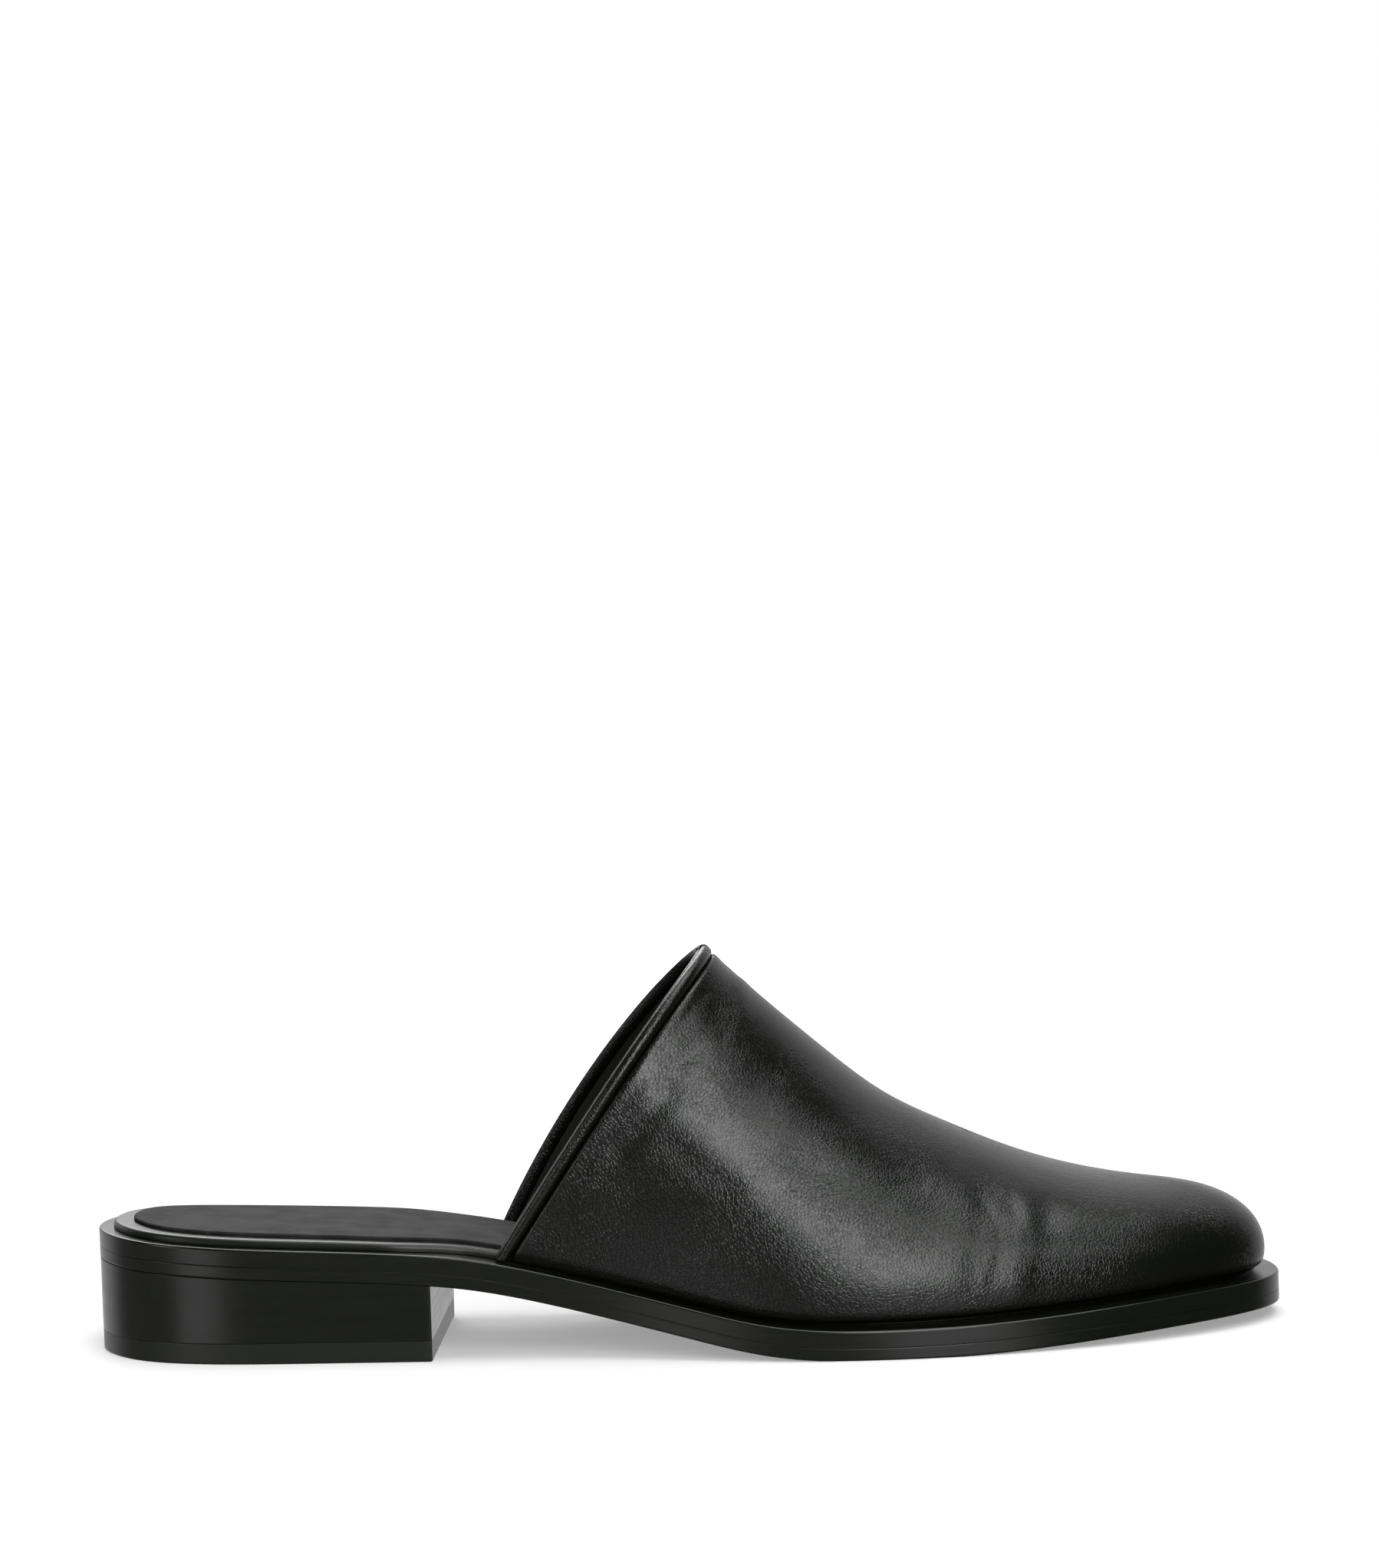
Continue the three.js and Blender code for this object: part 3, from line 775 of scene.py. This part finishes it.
def rubber_material():
    paint = Paint("heel_rubber", Base_Color=grey(0.005, BLACK_TINT), Roughness=0.35)
    grain = paint.noise(0.5, 4.0)
    paint.bump(paint.math("MULTIPLY", grain, 0.05))
    paint.set("Base Color", paint.blend(grain, grey(0.004, BLACK_TINT), grey(0.007, BLACK_TINT)))
    return paint.material


def wrap_material():
    black = grey(0.006, BLACK_TINT)
    paint = Paint("footbed_wrap", Base_Color=black, Roughness=0.34, Specular_IOR_Level=0.4)
    grain = paint.cells(0.7, "SMOOTH_F1")
    paint.bump(paint.math("MULTIPLY", grain, -0.03))
    paint.set("Base Color", paint.blend(paint.noise(9.0), grey(0.004, BLACK_TINT), grey(0.008, BLACK_TINT)))
    return paint.material


def sock_material():
    paint = Paint("sock_nappa", Base_Color=grey(0.02), Roughness=0.7, Specular_IOR_Level=0.12)
    grain = paint.cells(0.6, "SMOOTH_F1")
    height = paint.math("MULTIPLY", grain, -0.04)
    paint.bump(paint.math("MULTIPLY_ADD", paint.noise(1.6, 2.0), 0.06, height))
    # Painted sheen: the lighter patches of this mottle stand in for the nappa's sheen, and the mottle also
    # varies its tone at random.
    sheen_mottle = paint.ramp(paint.noise(9.0, 5.0, 0.6), 0.35, 0.65, smooth_step=True)
    paint.set("Base Color", paint.blend(sheen_mottle, grey(0.013, SOCK_TINT), grey(0.032, SOCK_TINT)))
    return paint.material


# ------------------------------------------------------------------ the shoe
def plus(height, extra):
    return lambda along: height(along) + extra


def make_sole(edge):
    midsole_bottom = plus(top_at, -MIDSOLE)
    slab(
        "midsole_edge", sole_rim(0), sole_middle, slab_profile(0.45, 0.12),
        top_at, midsole_bottom, edge, ["midsole"],
    )
    slab(
        "outsole_edge", sole_rim(0), sole_middle, slab_profile(0.12, 0.45),
        plus(top_at, -MIDSOLE - SEAM), bottom_at, edge, ["outsole"],
    )


def make_heel(stack, rubber):
    slab(
        "heel_stack", heel_rim(HEEL_INSET), heel_middle, slab_profile(0.06, 0.06),
        plus(bottom_at, -SEAM), lambda along: np.full_like(along, LIFT + SEAM),
        stack, ["heel_block"], sharp_angle=30,
    )
    slab(
        "heel_top_piece", heel_rim(LIFT_INSET), heel_middle, slab_profile(0.15, 0.35),
        lambda along: np.full_like(along, LIFT), lambda along: np.zeros_like(along),
        rubber, ["heel_lift"], sharp_angle=30,
    )


def make_footbed(wrap, sock):
    inset = insole_inset()
    insole_top = plus(top_at, GAP + INSOLE)
    slab(
        "insole_rand", sole_rim(inset), sole_middle, slab_profile(0.9, 0.1),
        insole_top, plus(top_at, LAYER_GAP), wrap, ["insole"],
    )
    slab(
        "sock_cover", sole_rim(inset + SOCK_MARGIN), sole_middle, slab_profile(0.35, 0.1),
        plus(insole_top, SOCK), plus(insole_top, -LAYER_GAP), sock, ["sock_lining"],
    )


def make_upper(calf, lining):
    face, body, normals = vamp_grid()
    coarse = body[::STRIDE, ::STRIDE]
    coarse_normals = normals[::STRIDE, ::STRIDE]
    shell("vamp", face, coarse - coarse_normals * LEATHER, calf, ["upper"])
    outer = coarse - coarse_normals * (LEATHER + LAYER_GAP)
    inner = coarse - coarse_normals * WALL
    shell("vamp_lining", outer, inner, lining, ["upper"])


calf = calf_material()
edge = edge_material()
make_sole(edge)
make_heel(heel_material(), rubber_material())
make_footbed(wrap_material(), sock_material())
make_upper(calf, lining_material())
make_binding(calf)

# ------------------------------------------------------------------ floor, light and camera
CAMERA_DISTANCE = 1.2
CAMERA_ELEVATION = 10.3
CAMERA_SIDE = 0.7
CAMERA_PITCH = 4.36
CAMERA_HEADING = 0.51
CAMERA_ROLL = 1.9
CAMERA_LENS = 120.5

STAGE_REACH = 12
BACKDROP_RADIUS = 11.5
BACKDROP_FOOT = -0.5
BACKDROP_HEIGHT = 12
BACKDROP_SIDES = 48
FLOOR_WHITE = 0.8
# How strongly the floor glows under the shoe, and between which distances that rises to 1.
FLOOR_NEAR = 0.3
FLOOR_GLOW_STARTS = 0.15
FLOOR_GLOW_FULL = 0.9

# Each soft box: name, place, the point that it faces, size and radiance.
LIGHTS = [
    ("front_box", (0.2, -1.08, 0.56), (0.2, 0.35, 0), (0.5, 0.84), 6.2),
    ("top_box", (0.15, -0.14, 1.5), (0.15, -0.14, 0), (1.04, 1.18), 3.5),
    ("shoulder_box", (0.52, -0.74, 0.95), (0.03, -0.04, 0.04), (0.6, 0.28), 3.0),
    ("back_box", (-0.28, 1.03, 0.75), (0, 0, 0.05), (0.5, 0.8), 3.5),
    ("side_strip", (-1.3, -0.75, 0.45), (0, 0, 0.1), (0.4, 0.8), 2.5),
]

# The studio's fill, by the parts of a direction along, across and up. Each step goes from one value to
# another: (where it starts, where it ends, first value, last value).
WORLD_DARK = 0.035
WORLD_TOE_SIDE = (0.15, 0.6, 1.0, 0.12)
WORLD_BELOW = (-0.1, 0.1, 0.17, 0.0)
WORLD_BEHIND = (0.15, 0.75, 0.0, 0.7)
# Where the floor gleams in front: each band rises and falls with the along part of the direction.
GLEAM_BANDS = [
    ((-0.8, -0.66, 0.0, 0.9), (-0.54, -0.4, 1.0, 0.0)),
    ((-0.02, 0.14, 0.0, 1.0), (0.38, 0.56, 1.0, 0.0)),
]
GLEAM_RISES = (-0.6, -0.15, 0.0, 1.0)
GLEAM_FALLS = (-0.02, 0.12, 1.0, 0.0)
GLEAM_IN_FRONT = (-0.4, 0.0, 1.0, 0.0)


def make_camera():
    """The camera stands on the outer side, a little above the shoe, rolled so that the toe side is up."""
    camera = bpy.data.objects.new("camera", bpy.data.cameras.new("camera"))
    bpy.context.scene.collection.objects.link(camera)
    elevation = math.radians(CAMERA_ELEVATION)
    side = math.radians(CAMERA_SIDE)
    away = CAMERA_DISTANCE * math.cos(elevation)
    camera.location = (away * math.sin(side), -away * math.cos(side), CAMERA_DISTANCE * math.sin(elevation))
    turn = Matrix.Rotation(math.radians(CAMERA_HEADING), 4, "Z")
    tilt = Matrix.Rotation(math.radians(90 - CAMERA_PITCH), 4, "X")
    roll = Matrix.Rotation(math.radians(-CAMERA_ROLL), 4, "Z")
    camera.rotation_euler = (turn @ tilt @ roll).to_euler()
    camera.data.lens = CAMERA_LENS
    camera.data.sensor_width = 36
    camera.data.clip_end = 50
    bpy.context.scene.camera = camera


def stage_object(name, points, faces, material):
    mesh = bpy.data.meshes.new(name)
    mesh.from_pydata(points, [], faces)
    mesh.materials.append(material)
    thing = bpy.data.objects.new(name, mesh)
    bpy.context.scene.collection.objects.link(thing)
    return thing


def make_floor():
    """A wide white floor. The shoe's gloss sees the studio's soft light below it, not its brightness."""
    corners = [(-STAGE_REACH, -STAGE_REACH, 0), (STAGE_REACH, -STAGE_REACH, 0)]
    corners += [(STAGE_REACH, STAGE_REACH, 0), (-STAGE_REACH, STAGE_REACH, 0)]
    paper = Paint("floor_paper", Base_Color=grey(FLOOR_WHITE), Roughness=1.0, Specular_IOR_Level=0.0)
    paper.shader.inputs["Emission Color"].default_value = grey(1)
    distance = paper.add("ShaderNodeVectorMath", {0: paper.place}, operation="LENGTH").outputs["Value"]
    glow = paper.ramp(distance, FLOOR_GLOW_STARTS, FLOOR_GLOW_FULL, FLOOR_NEAR, 1.0, smooth_step=True)
    paper.set("Emission Strength", glow)
    floor = stage_object("floor", corners, [(0, 1, 2, 3)], paper.material)
    floor.visible_glossy = False


def make_backdrop():
    """A white paper wall all round, which lights nothing."""
    sides = BACKDROP_SIDES
    turn = [2 * math.pi * k / sides for k in range(sides)]
    ring = [(BACKDROP_RADIUS * math.cos(t), BACKDROP_RADIUS * math.sin(t)) for t in turn]
    points = [(x, y, z) for z in (BACKDROP_FOOT, BACKDROP_HEIGHT) for x, y in ring]
    faces = [(k, (k + 1) % sides, sides + (k + 1) % sides, sides + k) for k in range(sides)]
    paper = Paint("backdrop_paper", Base_Color=grey(0), Roughness=1.0, Specular_IOR_Level=0.0)
    paper.shader.inputs["Emission Color"].default_value = grey(1)
    paper.shader.inputs["Emission Strength"].default_value = 1.0
    wall = stage_object("backdrop", points, faces, paper.material)
    wall.visible_glossy = False
    wall.visible_diffuse = False
    wall.visible_shadow = False
    wall.visible_transmission = False


def make_light(name, place, aim, size, radiance):
    """A soft box: a rectangle of light that faces a point."""
    light = bpy.data.lights.new(name, "AREA")
    light.shape = "RECTANGLE"
    light.size, light.size_y = size
    light.energy = math.pi * size[0] * size[1] * radiance
    lamp = bpy.data.objects.new(name, light)
    lamp.location = place
    lamp.rotation_euler = (Vector(place) - Vector(aim)).to_track_quat("Z", "Y").to_euler()
    lamp.visible_camera = False
    bpy.context.scene.collection.objects.link(lamp)


def make_world():
    """The studio's fill: pale behind, dim below, and dark above and towards the toe, with low gleams."""
    world = bpy.data.worlds.new("studio")
    world.use_nodes = True
    tree = world.node_tree

    def add(kind, links, **settings):
        node = tree.nodes.new(kind)
        for key, value in settings.items():
            setattr(node, key, value)
        for key, value in links.items():
            if isinstance(value, bpy.types.NodeSocket):
                tree.links.new(value, node.inputs[key])
            else:
                node.inputs[key].default_value = value
        return node.outputs[0]

    def step(value, low, high, to_low, to_high):
        links = {"Value": value, 1: low, 2: high, 3: to_low, 4: to_high}
        return add("ShaderNodeMapRange", links, interpolation_type="SMOOTHSTEP")

    def join(operation, first, second):
        return add("ShaderNodeMath", {0: first, 1: second}, operation=operation)

    direction = tree.nodes.new("ShaderNodeTexCoord").outputs["Generated"]
    parts = tree.nodes.new("ShaderNodeSeparateXYZ")
    tree.links.new(direction, parts.inputs[0])
    along, across, up = parts.outputs
    front = join("MULTIPLY", step(up, *WORLD_BELOW), step(along, *WORLD_TOE_SIDE))
    lit = join("MAXIMUM", front, step(across, *WORLD_BEHIND))
    bands = [join("MULTIPLY", step(along, *rise), step(along, *fall)) for rise, fall in GLEAM_BANDS]
    low = join("MULTIPLY", step(up, *GLEAM_RISES), step(up, *GLEAM_FALLS))
    low = join("MULTIPLY", low, step(across, *GLEAM_IN_FRONT))
    glow = join("MULTIPLY", join("ADD", *bands), low)
    total = join("ADD", lit, join("ADD", glow, WORLD_DARK))
    tree.nodes["Background"].inputs["Color"].default_value = grey(1)
    tree.links.new(total, tree.nodes["Background"].inputs["Strength"])
    bpy.context.scene.world = world


make_camera()
make_floor()
make_backdrop()
make_world()
for lamp in LIGHTS:
    make_light(*lamp)
bpy.context.scene.view_settings.view_transform = "Standard"
